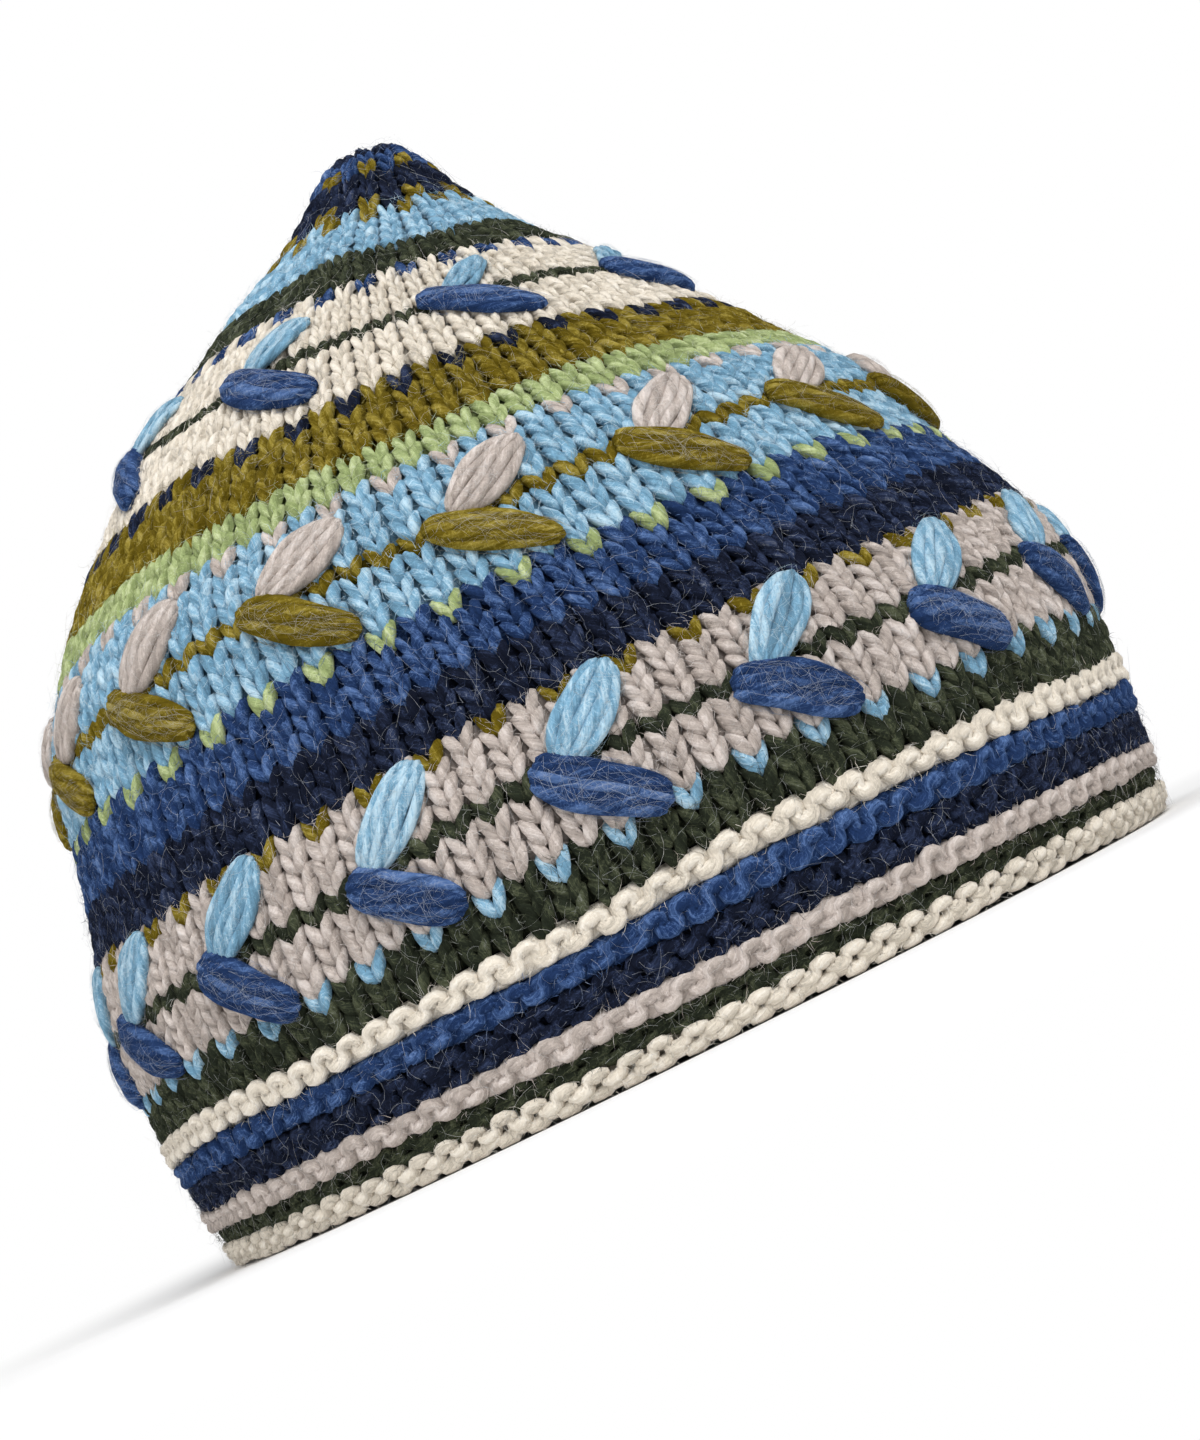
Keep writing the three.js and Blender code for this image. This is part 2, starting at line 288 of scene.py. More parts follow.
def yarn_material(yarn, painted_shade=1.0):
    """The material of one colour of yarn or, darkened as painted shading, of the dim backs of its stitches.
    """
    seen, fleck = YARNS[yarn]
    base, light = linear(seen), linear(fleck)
    material = bpy.data.materials.new("yarn_" + yarn + ("" if painted_shade == 1.0 else "_shaded_backs"))
    material.use_nodes = True
    tree = material.node_tree
    shader = tree.nodes["Principled BSDF"]
    shader.inputs["Roughness"].default_value = 0.95
    shader.inputs["Specular IOR Level"].default_value = 0.05
    shader.inputs["Sheen Weight"].default_value = 0.3 * painted_shade
    shader.inputs["Sheen Roughness"].default_value = 0.4
    shader.inputs["Sheen Tint"].default_value = tuple(light) + (1.0,)
    place = tree.nodes.new("ShaderNodeTexCoord")
    # dye flecks, about 1 mm long, single fibres that twist a little round the yarn, and the two plies, with
    # painted shade in the groove between them
    flecks = noise(tree, place.outputs["Object"], scale=900.0, detail=3.0, roughness=0.65)
    twist = tree.nodes.new("ShaderNodeMapping")
    twist.inputs["Rotation"].default_value = (0.0, 0.0, FIBRE_TWIST)
    tree.links.new(place.outputs["UV"], twist.inputs["Vector"])
    stretch = tree.nodes.new("ShaderNodeVectorMath")
    stretch.operation = "MULTIPLY"
    stretch.inputs[1].default_value = FIBRE_STRETCH
    tree.links.new(twist.outputs["Vector"], stretch.inputs[0])
    fibres = noise(tree, stretch.outputs["Vector"], scale=1.0, detail=4.0, roughness=0.72, distortion=0.9)
    plies = tree.nodes.new("ShaderNodeTexWave")
    plies.bands_direction = "X"
    plies.inputs["Scale"].default_value = 0.32
    plies.inputs["Distortion"].default_value = 0.8
    tree.links.new(twist.outputs["Vector"], plies.inputs["Vector"])
    ply_round = maths(tree, "ABSOLUTE", maths(tree, "SUBTRACT", plies.outputs["Fac"], 0.5))
    groove_shaded = maths(tree, "MULTIPLY_ADD", ply_round, PLY_GROOVE_SHADE_SHARE, fibres.outputs["Fac"])
    mottled_and_groove_shaded = maths(tree, "MULTIPLY_ADD", flecks.outputs["Fac"], FLECK_SHARE, groove_shaded)
    # single pale fibres lie in curls over the yarn, along the level lines of a slow noise's two channels
    curls = noise(tree, place.outputs["Object"], scale=260.0, detail=2.0, distortion=0.8)
    channels = tree.nodes.new("ShaderNodeSeparateXYZ")
    tree.links.new(curls.outputs["Color"], channels.inputs["Vector"])
    curl_ways = [maths(tree, "PINGPONG", channels.outputs[number], CURL_SPACING) for number in range(2)]
    curl_line = tree.nodes.new("ShaderNodeMapRange")
    curl_line.inputs["From Min"].default_value = CURL_WIDTH
    curl_line.inputs["From Max"].default_value = 0.0
    curl_line.inputs["To Max"].default_value = CURL_SHARE
    tree.links.new(maths(tree, "MINIMUM", *curl_ways), curl_line.inputs["Value"])
    combed = maths(tree, "ADD", mottled_and_groove_shaded, curl_line.outputs["Result"])
    tone = tree.nodes.new("ShaderNodeAttribute")
    tone.attribute_name = "tone"
    brightness = maths(tree, "MULTIPLY_ADD", combed, MOTTLING, tone.outputs["Fac"])
    ramp = tree.nodes.new("ShaderNodeValToRGB")
    # the palest stop is a painted highlight, where stray fibres catch the light
    hair_highlight = light + (linear(HAIR_HIGHLIGHT_COLOR) - light) * HAIR_HIGHLIGHT_SHARE
    # the lowest stop is painted shade, deep between the fibres and in the ply grooves
    stops = ((0.34, base * GROOVE_PAINTED_SHADE), (0.5, base), (0.66, light), (1.0, hair_highlight))
    for position, _ in stops[1:-1]:
        ramp.color_ramp.elements.new(position)
    for stop, (position, color) in zip(ramp.color_ramp.elements, stops):
        stop.position = position
        stop.color = tuple(color * painted_shade) + (1.0,)
    tree.links.new(brightness, ramp.inputs["Fac"])
    tree.links.new(ramp.outputs["Color"], shader.inputs["Base Color"])
    nap = noise(tree, place.outputs["Object"], scale=3000.0, detail=2.0)
    reliefs = (
        # height, strength, and millimetres
        (ply_round, 0.8, 1.3),
        (fibres.outputs["Fac"], 0.7, 0.4),
        (flecks.outputs["Fac"], 0.35, 0.4),
        (nap.outputs["Fac"], 0.6, 0.3),
    )
    normal = None
    for height, strength, distance in reliefs:
        bump = tree.nodes.new("ShaderNodeBump")
        bump.inputs["Strength"].default_value = strength
        bump.inputs["Distance"].default_value = distance * MM
        tree.links.new(height, bump.inputs["Height"])
        if normal:
            tree.links.new(normal, bump.inputs["Normal"])
        normal = bump.outputs["Normal"]
    tree.links.new(normal, shader.inputs["Normal"])
    return material


MATERIALS = {yarn: yarn_material(yarn) for yarn in YARNS}
# darker copies of each yarn, with less sheen: painted shade on the backs between legs and ropes
SHADED_BACKS = {yarn: yarn_material(yarn, BACKS_PAINTED_SHADE) for yarn in YARNS}


def tube_triangles(rings, sides, closed, hollow):
    """Triangles of one tube. Its points are ring after ring, and, where it isn't closed, then its two ends.
    A hollow tube goes without the two sides that face into the hat."""
    faced = np.arange(1, sides - 1) if hollow else np.arange(sides)
    ring, side = np.meshgrid(np.arange(rings if closed else rings - 1), faced, indexing="ij")
    a, b = ring * sides + side, ring * sides + (side + 1) % sides
    c, d = (a + sides) % (rings * sides), (b + sides) % (rings * sides)
    faces = [np.stack([a, c, d], -1).reshape(-1, 3), np.stack([a, d, b], -1).reshape(-1, 3)]
    if not closed:
        k = (faced + 1) % sides
        first, last = rings * sides, rings * sides + 1
        top = (rings - 1) * sides
        faces.append(np.stack([np.full(len(faced), first), faced, k], -1))
        faces.append(np.stack([np.full(len(faced), last), top + k, top + faced], -1))
    return np.concatenate(faces)


def tubes(paths, half_width, half_height, sides, closed=False):
    """Tubes round many paths of (right, up, lift). A ring's point at phi is path + half_width cos(phi) n +
    half_height sin(phi) lift, with n to the right of the path and phi from the side that faces into the hat.
    An open tube's first and last stations are its ends. Returns points (tube, point, 3)."""
    if closed:
        ahead, behind = np.roll(paths, -1, axis=1), np.roll(paths, 1, axis=1)
        loop = paths[:, -1:] - paths[:, :1]
        step = loop * (1.0 + 1.0 / (paths.shape[1] - 1))
        step[..., 1:] = 0.0
        ahead[:, -1:] += step
        behind[:, :1] -= step
        along = ahead - behind
    else:
        along = np.gradient(paths, axis=1)
    flat = np.hypot(along[..., 0], along[..., 1])[..., None]
    normal = np.stack([along[..., 1], -along[..., 0], np.zeros_like(along[..., 0])], -1) / flat
    core = slice(None) if closed else slice(1, -1)
    phi = np.linspace(-0.5 * math.pi, 1.5 * math.pi, sides, endpoint=False)
    offset = (
        half_width[:, core, None, None] * np.cos(phi)[None, None, :, None] * normal[:, core, None, :]
        + half_height[:, core, None, None] * np.sin(phi)[None, None, :, None] * np.array([0.0, 0.0, 1.0])
    )
    points = (paths[:, core, None, :] + offset).reshape(len(paths), -1, 3)
    if not closed:
        points = np.concatenate([points, paths[:, :1], paths[:, -1:]], axis=1)
    return points


def yarn_object(name, nodes, yarn, points, pattern, uv, tone):
    """One object from many pieces of yarn that are alike. points are in metres (piece, point, 3), pattern is
    the triangles of one piece, uv their corners in the texture, where v moves on from piece to piece, and
    tone has one value for each piece."""
    count, size = points.shape[:2]
    triangles = (pattern[None] + (np.arange(count) * size)[:, None, None]).reshape(-1, 3)
    mesh = bpy.data.meshes.new(name)
    mesh.vertices.add(count * size)
    mesh.vertices.foreach_set("co", points.reshape(-1))
    mesh.loops.add(triangles.size)
    mesh.loops.foreach_set("vertex_index", triangles.reshape(-1))
    mesh.polygons.add(len(triangles))
    mesh.polygons.foreach_set("loop_start", np.arange(0, triangles.size, 3))
    mesh.polygons.foreach_set("use_smooth", np.ones(len(triangles), dtype=bool))
    corners = np.repeat(uv[None], count, axis=0)
    corners[..., 1] += np.linspace(0.0, TEXTURE_STEP * count, count)[:, None, None]
    mesh.uv_layers.new(name="yarn").data.foreach_set("uv", corners.reshape(-1))
    tones = mesh.attributes.new("tone", "FLOAT", "POINT")
    tones.data.foreach_set("value", np.repeat(tone + PLAIN_TONE, size).astype(np.float32))
    mesh.update()
    mesh.materials.append(MATERIALS[yarn])
    piece = bpy.data.objects.new(name, mesh)
    bpy.context.scene.collection.objects.link(piece)
    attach(piece, "root")
    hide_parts(*nodes)


def tube_object(name, nodes, yarn, points, rings, sides, tone, turns, closed=False, hollow=True):
    """One object from tubes. In the texture u runs once round the yarn, and v along it to turns at its end.
    A triangle across the seam has its corners beyond the seam counted on."""
    pattern = tube_triangles(rings, sides, closed, hollow)
    ring_of, side_of = np.divmod(pattern, sides)
    ends = pattern >= rings * sides
    u = side_of / sides
    wraps = (u.max(axis=1, keepdims=True) - u.min(axis=1, keepdims=True)) > 0.5
    u = np.where(wraps & (u < 0.5), u + 1.0, u)
    v = (ring_of + 1.0) / (rings + 1.0)
    if closed:
        spans = (v.max(axis=1, keepdims=True) - v.min(axis=1, keepdims=True)) > 0.5
        v = np.where(spans & (v < 0.5), v + rings / (rings + 1.0), v)
    u = np.where(ends, 0.5, u)
    v = np.where(ends, pattern - rings * sides, v)
    yarn_object(name, nodes, yarn, points, pattern, np.stack([u, v * turns], -1), tone)


def fibre_strips(paths, thickness, roll):
    """Thin strips that taper to a point, one along each path of (right, up, lift), turned by its roll."""
    along = np.gradient(paths, axis=1)
    flat = np.hypot(along[..., 0], along[..., 1])[..., None] + 1e-9
    normal = np.stack([-along[..., 1], along[..., 0], np.zeros_like(along[..., 0])], -1) / flat
    across = normal * np.cos(roll)[:, None, None] + np.array([0.0, 0.0, 1.0]) * np.sin(roll)[:, None, None]
    taper = np.linspace(1.0, FIBRE_TAPER, paths.shape[1])[None, :, None]
    half = 0.5 * thickness * taper * across
    pairs = np.stack([paths - half, paths + half], axis=2)[:, :-1].reshape(len(paths), -1, 3)
    return np.concatenate([pairs, paths[:, -1:]], axis=1)


def fibre_object(name, nodes, yarn, points, tone):
    """One object from the strips of fibre_strips."""
    pairs = points.shape[1] // 2
    foot = 2 * np.arange(pairs - 1)[:, None]
    tip = [[2 * pairs - 2, 2 * pairs, 2 * pairs - 1]]
    pattern = np.concatenate([foot + (0, 3, 1), foot + (0, 2, 3), tip])
    uv = np.stack([np.full(pattern.shape, 0.5), pattern * FIBRE_STEP], -1)
    yarn_object(name, nodes, yarn, points, pattern, uv, tone)


# Stockinette stitches of the crown
# Each knitted stitch shows two plump legs that meet in a V. A leg comes up between the legs of the stitch
# below, swells, and dives under the next stitch. Rounds are knitted in stripes, some with a second colour
# in every other stitch.
STRIPES = (
    # yarn, rounds, millimetres up to the stripe's top, stitches round, second yarn
    ("dark_green", 2, 34.3, 108, ""),
    ("dark_green", 1, 37.5, 108, "light_blue"),
    ("beige", 3, 47.1, 108, ""),
    ("dark_green", 1, 50.0, 108, ""),
    ("beige", 3, 58.5, 108, ""),
    ("beige", 1, 61.5, 108, "olive"),
    ("navy", 3, 71.0, 108, ""),
    ("blue", 3, 80.4, 108, ""),
    ("blue", 1, 83.6, 96, "light_green"),
    ("light_blue", 3, 94.0, 96, ""),
    ("olive", 1, 96.8, 96, ""),
    ("light_blue", 3, 107.0, 96, ""),
    ("light_blue", 1, 110.5, 96, "beige"),
    ("light_green", 2, 118.0, 96, ""),
    ("olive", 3, 129.5, 84, ""),
    ("olive", 1, 133.8, 84, "navy"),
    ("cream", 4, 147.6, 84, ""),
    ("dark_green", 1, 150.6, 84, ""),
    ("cream", 4, 163.8, 84, ""),
    ("cream", 1, 168.0, 66, "blue"),
    ("dark_green", 3, 178.5, 54, ""),
    ("light_blue", 4, 191.0, 36, ""),
    ("light_blue", 1, 195.4, 36, "olive"),
    ("navy", 1, 199.2, 24, "olive"),
    ("navy", 2, 206.5, 24, ""),
    ("blue", 1, 210.0, 18, "olive"),
    ("blue", 1, 213.5, 14, ""),
    ("navy", 2, 219.2, 9, ""),
)
BAND_HEIGHT = 28.2
MOTIF_TURNS = {108: 1.2, 96: 4.0, 84: 20.0}  # where a leaf stands over a stitch, in degrees from the front
LEG = np.array(
    # right and up as shares of the stitch's width and height, lift in millimetres, share of the thickness
    [
        (0.060, -0.50, -1.70, 0.0),
        (0.070, -0.40, -1.15, 0.70),
        (0.120, -0.08, -0.78, 0.95),
        (0.200, 0.31, -0.70, 1.0),
        (0.280, 0.72, -0.92, 1.0),
        (0.340, 1.12, -1.45, 0.88),
        (0.360, 1.38, -2.20, 0.0),
    ]
)
LEG_SIDES = 6
LEG_WIDTH = 0.40  # of the stitch's width
LEG_THICKNESS = 2.3
LEG_TURNS = 1.2  # of the yarn's texture along a leg
LEG_TONE = 0.04  # how much the tone differs from leg to leg
STITCH_WANDER = 0.015  # sideways, of the stitch's width
LEG_LEAN, LEG_PLUMPNESS = 0.06, 0.07  # how much legs differ in lean and thickness, as shares
LEG_SLIP = 0.05  # up or down, of the stitch's height
LEG_SINK = 0.12  # millimetres in or out
JITTER = np.random.default_rng(7)


def stitch_legs(way, angle, width, height):
    """Both legs of each stitch, along the path that LEG gives, mirrored for the left one, each a little
    different from the next."""
    count = len(way)
    legs = []
    wander = STITCH_WANDER * JITTER.standard_normal((count, 1))
    for side in (-1.0, 1.0):
        lean = 1.0 + LEG_LEAN * JITTER.standard_normal((count, 1))
        size = 1.0 + LEG_PLUMPNESS * JITTER.standard_normal((count, 1))
        sink = LEG_SINK * JITTER.standard_normal((count, 1))
        slip = LEG_SLIP * JITTER.standard_normal((count, 1))
        right = width[:, None] * (side * LEG[:, 0] * lean + wander)
        up = height[:, None] * (LEG[:, 1] + slip)
        paths = np.stack([right, up, LEG[:, 2] + sink], -1)
        half_width = 0.5 * LEG_WIDTH * width[:, None] * LEG[:, 3] * size
        half_height = 0.5 * LEG_THICKNESS * LEG[:, 3] * size
        local = tubes(paths, half_width, half_height, LEG_SIDES)
        turned = angle[:, None] + local[..., 0] / radius_at(way)[:, None]
        legs.append(on_hat(way[:, None] + local[..., 1], turned, local[..., 2]))
    return np.concatenate(legs)


knitted = {yarn: [] for yarn in YARNS}
round_foot = BAND_HEIGHT
for yarn, rounds, top, stitches, second in STRIPES:
    height = (top - round_foot) / rounds
    for number in range(rounds):
        way = np.full(stitches, round_foot + number * height)
        columns = np.arange(stitches)
        start = math.radians(MOTIF_TURNS.get(stitches, 0.0) - 90.0)
        angle = start + columns * 2.0 * math.pi / stitches
        width = 2.0 * math.pi * radius_at(way) / stitches
        seconds = (columns % 2 == 0) & bool(second)
        for own_yarn, chosen in ((yarn, ~seconds), (second, seconds)):
            if chosen.any():
                legs = stitch_legs(way[chosen], angle[chosen], width[chosen], np.full(chosen.sum(), height))
                knitted[own_yarn].append(legs)
    round_foot = top
for yarn, groups in knitted.items():
    legs = np.concatenate(groups)
    tone = JITTER.normal(0.0, LEG_TONE, len(legs))
    tube_object("stitches_" + yarn, ["crown"], yarn, legs, len(LEG) - 2, LEG_SIDES, tone, LEG_TURNS)

# Garter ridges of the band
# Rounds of purl loops stand out as wavy ropes, all round the rim, outside and just inside it. A rope's path
# at the phase p is right = s - pinch sin(2 p) + slant sin(p), up = wave sin(p), lift = -swing cos(2 p), so
# that its loops are round and lean a little. A plain rope lies under each of the three waviest.
RIDGE_LOOPS = 108
ROPE_PINCH = 0.1  # of a loop's width
ROPE_SLANT = 0.3  # millimetres that a loop's top leans to the right
ROPE_SWING = 0.3  # millimetres in and out
SWINGING_WAVE = 0.6  # ropes with a greater wave than this swing in and out
ROPE_TURNS = 0.85  # of the yarn's texture along a loop
ROPE_JITTER = np.array((0.18, 0.16, 0.25, 0.12))  # of a loop: share of its wave, millimetres up, right, out
ROPE_PLUMPNESS = 0.07  # how much the thickness differs, as a share
INSIDE_LIFT = -3.0  # a rope that lies deeper than this shows from inside
ROPES = (
    # name, yarn, millimetres up, wave, thickness and width, lift, phase in turns, stations to a loop, sides
    ("inner_rope_high", "cream", 6.7, 0.5, 2.0, 2.4, -3.9, 0.3, 6, 6),
    ("inner_rope_green", "dark_green", 4.5, 0.4, 1.8, 2.0, -4.0, 0.8, 6, 6),
    ("inner_rope_low", "cream", 2.2, 0.5, 2.2, 2.6, -3.3, 0.1, 6, 6),
    ("edge_rope_low", "cream", 1.55, 0.35, 2.4, 2.4, -1.25, 0.0, 8, 7),
    ("edge_rope_high", "cream", 3.4, 0.75, 2.3, 2.3, -0.75, 0.4, 10, 7),
    ("green_rope_low", "dark_green", 5.3, 0.45, 2.3, 2.3, -1.8, 0.1, 8, 6),
    ("green_rope_high", "dark_green", 7.1, 0.5, 2.3, 2.3, -1.7, 0.6, 8, 6),
    ("beige_rope", "beige", 10.2, 1.15, 2.2, 2.3, -0.55, 0.2, 12, 8),
    ("beige_rope_under", "beige", 10.2, 0.1, 2.4, 4.7, -1.6, 0.7, 4, 8),
    ("navy_rope_low", "navy", 13.6, 0.75, 2.6, 2.8, -1.4, 0.5, 8, 7),
    ("navy_rope_high", "navy", 16.3, 0.8, 2.7, 2.9, -1.3, 0.0, 8, 7),
    ("blue_rope", "blue", 20.5, 1.25, 2.3, 2.5, -0.55, 0.3, 12, 8),
    ("blue_rope_under", "blue", 20.6, 0.1, 2.4, 5.2, -1.6, 0.8, 4, 8),
    ("cream_rope", "cream", 25.6, 1.2, 2.5, 2.7, -0.35, 0.65, 12, 8),
    ("cream_rope_under", "cream", 25.6, 0.1, 2.4, 5.2, -1.6, 0.15, 4, 8),
)

for name, yarn, up, wave, thickness, width, lift, phase, loop_stations, rope_sides in ROPES:
    stations = RIDGE_LOOPS * loop_stations
    loop_width = 2.0 * math.pi * radius_at(up) / RIDGE_LOOPS
    turn = np.arange(stations) / loop_stations
    p = 2.0 * math.pi * (turn + phase)
    loops = JITTER.standard_normal((RIDGE_LOOPS + 1, 4))
    loops[-1] = loops[0]
    uneven = np.stack([np.interp(turn, np.arange(RIDGE_LOOPS + 1), loops[:, k]) for k in range(4)], -1)
    higher, raised, sideways, outward = (uneven * ROPE_JITTER).T
    swing = ROPE_SWING * (wave > SWINGING_WAVE)
    path = np.stack(
        [
            (turn - ROPE_PINCH * np.sin(2.0 * p)) * loop_width + ROPE_SLANT * np.sin(p) + sideways,
            up + wave * np.sin(p) * (1.0 + higher) + raised,
            lift - swing * np.cos(2.0 * p) + outward,
        ],
        -1,
    )[None]
    thick = 0.5 * thickness * (1.0 + ROPE_PLUMPNESS * uneven[None, :, 3])
    local = tubes(path, thick * width / thickness, thick, rope_sides, closed=True)
    points = on_hat(local[..., 1], local[..., 0] / radius_at(up), local[..., 2])
    turns, hollow = RIDGE_LOOPS * ROPE_TURNS, lift > INSIDE_LIFT
    tube_object(name, ["band"], yarn, points, stations, rope_sides, np.zeros(1), turns, True, hollow)

# Leaves
# Each leaf is a bundle of long yarn strands, drawn through the crown at both ends. A dark leaf falls to the
# right, over the root of a light leaf that climbs beside it. At the share s along it a leaf is as full as
# f(s) = sin(pi s^skew)^bluntness, and its strand at the share k across the bundle lies at
# across = k (width - strand)/2 f(s), lift = (rise - strand/2) f(s) sqrt(1 - roundness k^2), with a wobble.
LEAF_LENGTH = 24.0
LEAF_WIDTH = 8.5
LEAF_RISE = 3.2
LEAF_ROWS = (
    # name, pairs, place of the middle as a share of the way, degrees from the front, and of the
    # dark and the light leaf: yarn, shares of LEAF_LENGTH and of LEAF_WIDTH, degrees that it falls or climbs
    ("lower", 18, 0.193, 1.0, ("blue", 1.0, 0.95, 34.0), ("light_blue", 0.84, 1.06, 42.0)),
    ("middle", 16, 0.406, 4.0, ("olive", 1.0, 0.90, 33.0), ("beige", 0.86, 1.06, 31.0)),
    ("top", 9, 0.648, 20.0, ("blue", 1.03, 0.93, 32.0), ("light_blue", 0.68, 0.8, 40.0)),
)
LIGHT_RISE = 0.85  # of LEAF_RISE
ROOT_RIGHT, ROOT_UP = -0.2, 0.2  # the light leaf's root from the dark one's middle, of the latter's length
LEAF_JITTER = np.array((0.03, 0.035, 0.05, 0.06))  # in length and in fullness, and of both slopes in radians
DARK_FORM = (1.65, 0.26, 0.88)  # a strand's thickness over its spacing, bluntness, and skew
LIGHT_FORM = (1.3, 0.36, 1.0)
STRANDS = (-1.0, -0.52, 0.0, 0.52, 1.0)
STRAND_STATIONS = 13
STRAND_SIDES = 7
STRAND_TURNS = 3.3  # of the yarn's texture along a strand
STRAND_TONE, STRAND_PLUMPNESS = 0.05, 0.05  # how much strands differ
STRAND_INSET = 0.45  # of its thickness, at both ends together
STRAND_END = 0.3  # of its thickness, where the leaf ends
STRAND_WOBBLE = 0.34  # millimetres to the sides
STRAND_SWELLS = (0.14, 0.12)  # millimetres in or out, of the whole strand and along it
BUNDLE_ROUNDNESS = 0.6
BUNDLE_DEPTH = 0.2  # millimetres that the ends lie in the knitting
OUTER_SHORTER = 1.6  # millimetres that the outermost strands are shorter
HAIR_COUNTS = (120, 60)  # on a dark and a light leaf
HAIR_STATIONS = 6
HAIR_THICKNESS = 0.042
# tones that lift leaf hairs toward the painted highlight of stray fibres
HAIR_TONES = (0.1, 0.8)
HAIR_STARTS, HAIR_RUNS = (0.05, 0.8), (0.06, 0.4)  # along the leaf, as shares of its length
HAIR_DRIFT, HAIR_BEND = 0.5, 2.6  # to the sides, in half widths of the leaf
HAIR_LOW, HAIR_STAND = 0.05, 0.5  # millimetres off the leaf at the foot, and at most more at the point
HAIR_ROLL = 0.6
LEAF_END = 0.015  # of the length, within which the fullness no longer falls


def leaf_fullness(s, form):
    """f(s) of the formula above, a little more than nothing at both ends."""
    return np.sin(math.pi * np.clip(s, LEAF_END, 1.0 - LEAF_END) ** form[2]) ** form[1]


def leaf_axes(along, across, slope):
    """Right and up on the hat, for places along and across a leaf whose right end is slope radians up."""
    right = along * math.cos(slope) - across * math.sin(slope)
    up = along * math.sin(slope) + across * math.cos(slope)
    return right, up


def leaf_strands(way, angle, length, width, rise, slope, form):
    """The strands of one leaf about its middle, with the leaf's right end slope radians up."""
    s = (1.0 - np.cos(np.linspace(0.0, math.pi, STRAND_STATIONS))) / 2.0
    full = leaf_fullness(s, form)
    strand = width / len(STRANDS) * form[0]
    points = []
    for k in STRANDS:
        phase, lean = JITTER.uniform(0.0, 2.0 * math.pi), JITTER.standard_normal()
        wobble = STRAND_WOBBLE * np.sin(2.2 * math.pi * s + phase)
        swell = STRAND_SWELLS[0] * lean + STRAND_SWELLS[1] * np.sin(3.0 * math.pi * s + 2.0 * phase)
        along = (s - 0.5) * (length - STRAND_INSET * strand - OUTER_SHORTER * abs(k))
        across = (k * 0.5 * (width - strand) + wobble) * full
        bulge = (rise - 0.5 * strand) * math.sqrt(1.0 - BUNDLE_ROUNDNESS * k * k) + swell
        right, up = leaf_axes(along, across, slope)
        path = np.stack([right, up, bulge * full - BUNDLE_DEPTH], -1)[None]
        plumpness = 1.0 + STRAND_PLUMPNESS * JITTER.standard_normal()
        thick = 0.5 * strand * (STRAND_END + (1.0 - STRAND_END) * full)[None] * plumpness
        points.append(tubes(path, thick, thick, STRAND_SIDES))
    local = np.concatenate(points)
    return on_hat(way + local[..., 1], angle + local[..., 0] / radius_at(way), local[..., 2])


def leaf_hairs(way, angle, length, width, rise, slope, form, count):
    """Stray fibres that lie on one leaf, mostly along it, and stand a little off it."""
    s0 = JITTER.uniform(*HAIR_STARTS, (count, 1))
    k0 = JITTER.uniform(-1.0, 1.0, (count, 1))
    run = JITTER.uniform(*HAIR_RUNS, (count, 1))
    drift = HAIR_DRIFT * JITTER.standard_normal((count, 1))
    bend = HAIR_BEND * JITTER.standard_normal((count, 1))
    t = np.linspace(0.0, 1.0, HAIR_STATIONS)[None]
    s = np.clip(s0 + run * t, 0.0, 1.0)
    k = np.clip(k0 + drift * t + bend * t * (1.0 - t), -1.1, 1.1)
    full = leaf_fullness(s, form)
    off = HAIR_LOW + HAIR_STAND * JITTER.random((count, 1)) * t
    lift = rise * full * np.sqrt(np.maximum(1.0 - k * k, 0.0)) + off
    right, up = leaf_axes((s - 0.5) * length, k * 0.5 * width * full, slope)
    roll = JITTER.uniform(-HAIR_ROLL, HAIR_ROLL, count)
    local = fibre_strips(np.stack([right, up, lift], -1), HAIR_THICKNESS, roll)
    return on_hat(way + local[..., 1], angle + local[..., 0] / radius_at(way), local[..., 2])


def leaf_row(name, pairs, place, turn, dark_leaf, light_leaf):
    """One row of pairs, with an object for the strands and one for the stray fibres of each colour."""
    dark, dark_share, dark_width, fall = dark_leaf
    light, light_share, light_width, climb = light_leaf
    dark_length, light_length = LEAF_LENGTH * dark_share, LEAF_LENGTH * light_share
    fall, climb = math.radians(fall), math.radians(climb)
    way = place * OUTLINE_LENGTH
    light_right = dark_length * ROOT_RIGHT + 0.5 * light_length * math.cos(climb)
    light_up = dark_length * ROOT_UP + 0.5 * light_length * math.sin(climb)
    nodes = ["leaves_" + name + "_" + str(number + 1) for number in range(pairs)]
    strands, hairs = {dark: [], light: []}, {dark: [], light: []}
    for number in range(pairs):
        angle = math.radians(turn - 90.0 + 360.0 * number / pairs)
        longer, fuller, lower, higher = LEAF_JITTER * JITTER.standard_normal(4)
        length, width = dark_length * (1.0 + longer), LEAF_WIDTH * dark_width * (1.0 + fuller)
        own = (way, angle, length, width, LEAF_RISE, lower - fall, DARK_FORM)
        strands[dark].append(leaf_strands(*own))
        hairs[dark].append(leaf_hairs(*own, HAIR_COUNTS[0]))
        light_angle = angle + light_right / radius_at(way)
        length, width = light_length * (1.0 + fuller), LEAF_WIDTH * light_width
        rise = LEAF_RISE * LIGHT_RISE
        own = (way + light_up, light_angle, length, width, rise, climb + higher, LIGHT_FORM)
        strands[light].append(leaf_strands(*own))
        hairs[light].append(leaf_hairs(*own, HAIR_COUNTS[1]))
    for yarn in (dark, light):
        points, fuzz = np.concatenate(strands[yarn]), np.concatenate(hairs[yarn])
        tone = JITTER.normal(0.0, STRAND_TONE, len(points))
        own_name, rings = name + "_leaves_" + yarn, STRAND_STATIONS - 2
        tube_object(own_name, nodes, yarn, points, rings, STRAND_SIDES, tone, STRAND_TURNS, hollow=False)
        fibre_object(own_name + "_fuzz", nodes, yarn, fuzz, JITTER.uniform(*HAIR_TONES, len(fuzz)))


for row in LEAF_ROWS:
    leaf_row(*row)
